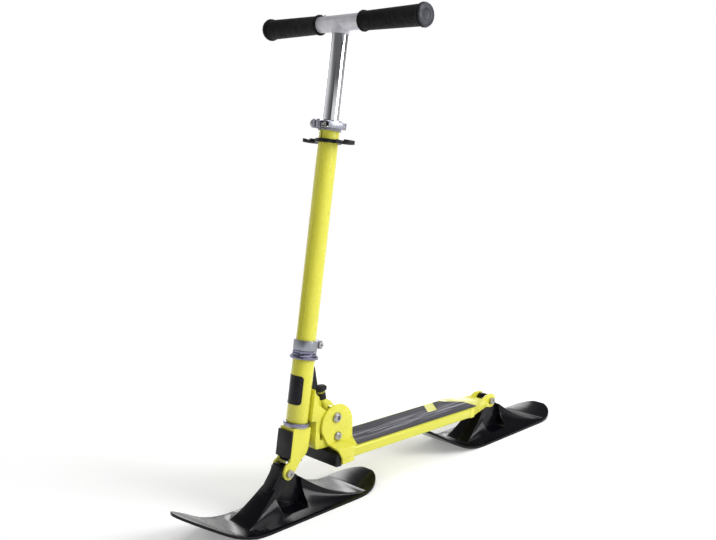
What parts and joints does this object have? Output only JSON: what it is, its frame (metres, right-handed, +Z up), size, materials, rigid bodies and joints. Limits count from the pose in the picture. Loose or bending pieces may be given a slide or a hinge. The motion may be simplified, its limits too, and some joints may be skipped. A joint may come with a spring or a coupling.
{
  "type": "folding snow scooter",
  "caption": "Folding snow scooter: a slim alloy deck and height-adjustable T-bar on pivoting moulded skis in place of wheels, with quick-release fold and height clamps",
  "frame": {"origin": "on the ground, in the middle of the scooter's length and width", "axes": "+X the way it travels, +Y the rider's left, +Z up"},
  "size_m": [0.98, 0.3716, 0.8317],
  "materials": {
    "yellow_paint": "gloss powder coat",
    "yellow_alloy": "satin coloured coat",
    "ski_plastic": "moulded, satin",
    "black_plastic": "moulded, satin",
    "grip_rubber": "soft matt",
    "grip_tape": "gritty",
    "chrome": "polished",
    "cast_alloy": "satin",
    "brushed_steel": "satin",
    "zinc_steel": "zinc plated",
    "brass": "plain"
  },
  "bodies": {
    "frame": {"deck": "yellow_alloy", "grip_tape": "grip_tape", "nose_cap": "black_plastic", "rear_fork": "yellow_paint", "rear_axle_bolt": "zinc_steel", "rear_axle_nut": "zinc_steel", "rear_ski_sleeve": "zinc_steel", "side_plate_left": "yellow_paint", "side_plate_right": "yellow_paint", "pivot_bush": "brass", "pivot_bolt": "zinc_steel", "pivot_nut": "zinc_steel", "fold_skewer": "zinc_steel", "fold_skewer_nut": "brushed_steel", "fold_washer": "brushed_steel"},
    "head": {"head_tube": "yellow_paint", "lower_cup": "brushed_steel", "upper_cup": "brushed_steel", "lower_ball_ring": "zinc_steel", "upper_ball_ring": "zinc_steel", "latch_spring": "brushed_steel"},
    "steering": {"fork": "yellow_paint", "stop_block": "black_plastic", "front_axle_bolt": "zinc_steel", "front_axle_nut": "zinc_steel", "front_ski_sleeve": "zinc_steel", "crown_race": "zinc_steel", "adjusting_race": "zinc_steel", "lock_nut": "zinc_steel", "outer_column": "yellow_paint", "lower_collar": "cast_alloy", "lower_collar_bolt": "zinc_steel", "top_collar": "cast_alloy", "top_skewer": "zinc_steel", "top_skewer_nut": "brushed_steel", "handle_clip": "black_plastic"},
    "handlebar": {"tbar_tube": "chrome", "tbar_bush": "black_plastic", "tbar_head": "cast_alloy", "handle_tube_left": "chrome", "handle_tube_right": "chrome", "grip_left": "grip_rubber", "grip_right": "grip_rubber", "end_cap_left": "black_plastic", "end_cap_right": "black_plastic", "button_leaf_left": "brushed_steel", "button_leaf_right": "brushed_steel"},
    "button_left": {"spring_button_left": "zinc_steel"},
    "button_right": {"spring_button_right": "zinc_steel"},
    "height_lever": {"top_lever": "cast_alloy"},
    "folding_lever": {"fold_lever": "black_plastic"},
    "latch": {"latch_plunger": "zinc_steel", "latch_knob": "black_plastic"},
    "front_runner": {"front_ski": "ski_plastic"},
    "rear_runner": {"rear_ski": "ski_plastic"}
  },
  "joints": [
    {"name": "fold", "type": "hinge", "parent": "frame", "child": "head", "pos_m": [0.166, 0, 0.113], "axis": [0, -1, 0], "range_deg": [0, 80]},
    {"name": "steer", "type": "hinge", "parent": "head", "child": "steering", "pos_m": [0.254, 0, 0.062], "axis": [-0.1599, 0, 0.9871], "range_deg": [-60, 60]},
    {"name": "bar_height", "type": "slide", "parent": "steering", "child": "handlebar", "axis": [-0.1599, 0, 0.9871], "range_m": [-0.12, 0.04]},
    {"name": "height_lever_turn", "type": "hinge", "parent": "steering", "child": "height_lever", "pos_m": [0.18526, 0.0166, 0.64906], "axis": [0.1599, 0, -0.9871], "range_deg": [0, 110]},
    {"name": "folding_lever_turn", "type": "hinge", "parent": "frame", "child": "folding_lever", "pos_m": [0.168, -0.0327, 0.147], "axis": [1, 0, 0], "range_deg": [0, 100]},
    {"name": "latch_pull", "type": "slide", "parent": "head", "child": "latch", "axis": [0.2143, 0, 0.9768], "range_m": [0, 0.008], "stiffness_N_per_m": 500, "springref_m": -0.004, "deforming": ["latch_spring"]},
    {"name": "front_ski_tilt", "type": "hinge", "parent": "steering", "child": "front_runner", "pos_m": [0.272, 0, 0.073], "axis": [0, 1, 0], "range_deg": [-8, 8]},
    {"name": "rear_ski_tilt", "type": "hinge", "parent": "frame", "child": "rear_runner", "pos_m": [-0.284, 0, 0.073], "axis": [0, 1, 0], "range_deg": [-2, 8]},
    {"name": "press_left", "type": "slide", "parent": "handlebar", "child": "button_left", "axis": [0.1599, 0, -0.9871], "range_m": [0, 0.0058], "stiffness_N_per_m": 800, "springref_m": -0.002, "deforming": ["button_leaf_left"]},
    {"name": "press_right", "type": "slide", "parent": "handlebar", "child": "button_right", "axis": [0.1599, 0, -0.9871], "range_m": [0, 0.0058], "stiffness_N_per_m": 800, "springref_m": -0.002, "deforming": ["button_leaf_right"]}
  ]
}
